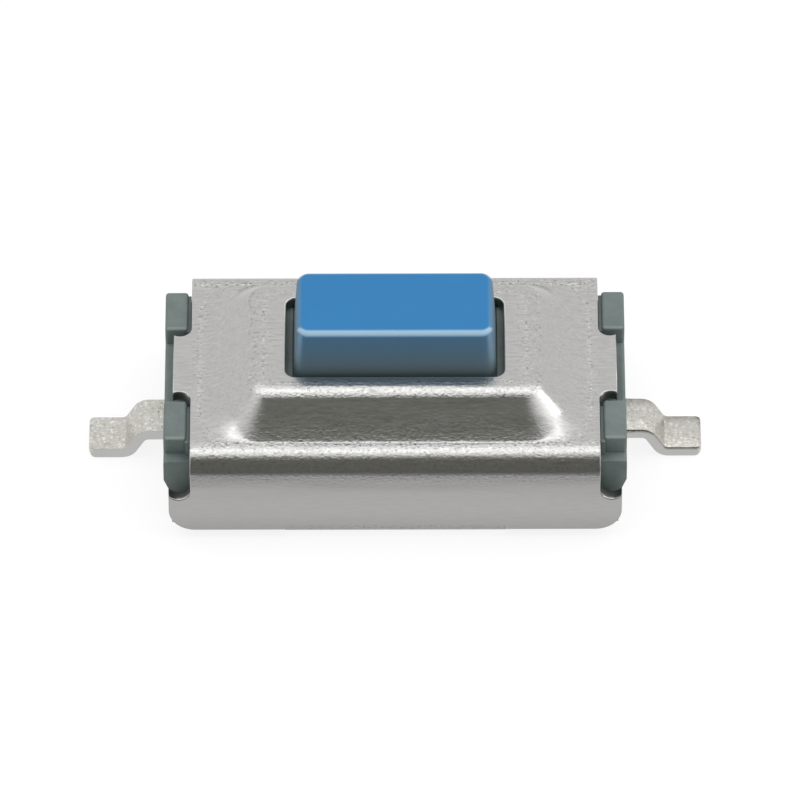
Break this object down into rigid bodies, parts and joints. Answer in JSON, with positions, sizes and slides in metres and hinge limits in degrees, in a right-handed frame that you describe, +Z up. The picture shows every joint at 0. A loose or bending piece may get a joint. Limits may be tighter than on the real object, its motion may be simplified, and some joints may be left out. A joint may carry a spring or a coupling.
{
  "type": "tactile switch",
  "caption": "Low-profile surface-mount tactile push switch with a rectangular key in a folded metal cover and gull-wing solder feet at both ends.",
  "frame": {"origin": "on the circuit board's surface, midway between the two solder feet and centred across the body", "axes": "+X through the two solder feet, from the centre terminal towards the fork terminal; +Y across the body; +Z up, out of the board and out of the key"},
  "size_m": [0.008, 0.0036, 0.0025],
  "materials": {
    "base_moulding": "matt glass-filled moulding, dark slate grey",
    "cover_sheet": "nickel-plated steel sheet, fine rolled grain",
    "key_moulding": "satin moulding, mid blue",
    "dome_strip": "silver-clad spring steel, smooth",
    "terminal_strip": "silver-plated brass strip, slightly grainy"
  },
  "bodies": {
    "housing": {"base": "base_moulding", "cover": "cover_sheet", "snap_dome": "dome_strip", "centre_terminal": "terminal_strip", "fork_terminal": "terminal_strip"},
    "key": {"button": "key_moulding"}
  },
  "joints": [
    {"name": "button_press", "type": "slide", "parent": "housing", "child": "key", "axis": [0, 0, -1], "range_m": [0, 0.00025], "stiffness_N_per_m": 8000, "deforming": ["snap_dome"]}
  ]
}
